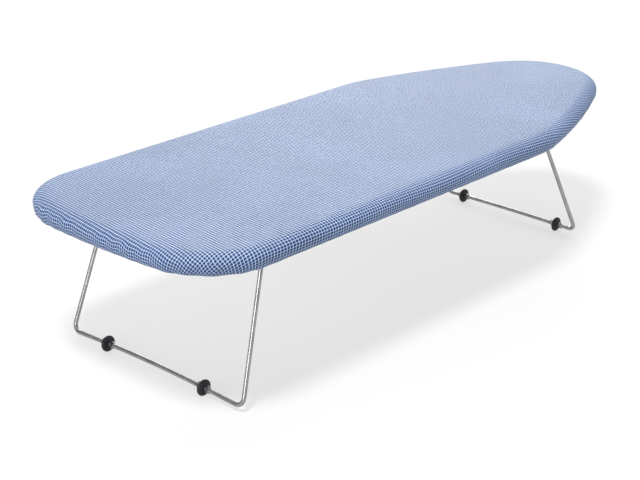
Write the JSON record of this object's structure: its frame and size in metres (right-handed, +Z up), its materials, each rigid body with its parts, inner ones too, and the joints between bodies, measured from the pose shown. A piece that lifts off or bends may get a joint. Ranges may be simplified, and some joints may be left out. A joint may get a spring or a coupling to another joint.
{
  "type": "tabletop ironing board",
  "caption": "Tabletop ironing board with a rounded nose, perforated steel deck, padded woven cover and two folding wire legs on rubber feet.",
  "frame": {"origin": "middle of the board's length and width, on the table under the feet", "axes": "+X towards the nose, +Y to the left when looking towards the nose, +Z up"},
  "size_m": [0.831, 0.323, 0.19],
  "materials": {
    "deck_enamel": "satin",
    "zinc_steel": "satin",
    "rivet_steel": "satin",
    "spring_steel": "satin",
    "leg_wire": "polished",
    "foot_rubber": "matte",
    "pad_felt": "matte",
    "cover_cotton": "matte",
    "hem_tape": "matte",
    "elastic": "matte"
  },
  "bodies": {
    "board": {"deck_panel": "deck_enamel", "edge_channel": "deck_enamel", "wide_end_rail": "deck_enamel", "nose_end_rail": "deck_enamel", "wide_bracket_left": "zinc_steel", "wide_bracket_right": "zinc_steel", "nose_bracket_left": "zinc_steel", "nose_bracket_right": "zinc_steel", "bracket_rivets": "rivet_steel", "rail_rivets": "rivet_steel", "clip_rivets": "rivet_steel", "wide_leg_clip": "spring_steel", "nose_leg_clip": "spring_steel", "foam_pad": "pad_felt", "cover": "cover_cotton", "hem_casing": "hem_tape", "hem_elastic": "elastic"},
    "wide_end_leg": {"wide_leg_wire": "leg_wire", "wide_foot_left": "foot_rubber", "wide_foot_right": "foot_rubber", "wide_leg_caps": "zinc_steel"},
    "nose_end_leg": {"nose_leg_wire": "leg_wire", "nose_foot_left": "foot_rubber", "nose_foot_right": "foot_rubber", "nose_leg_caps": "zinc_steel"}
  },
  "joints": [
    {"name": "wide_leg_fold", "type": "hinge", "parent": "board", "child": "wide_end_leg", "pos_m": [-0.29151, 0, 0.173], "axis": [0, -1, 0], "range_deg": [0, 106.7]},
    {"name": "nose_leg_fold", "type": "hinge", "parent": "board", "child": "nose_end_leg", "pos_m": [0.23615, 0, 0.173], "axis": [0, 1, 0], "range_deg": [0, 110.5]}
  ]
}
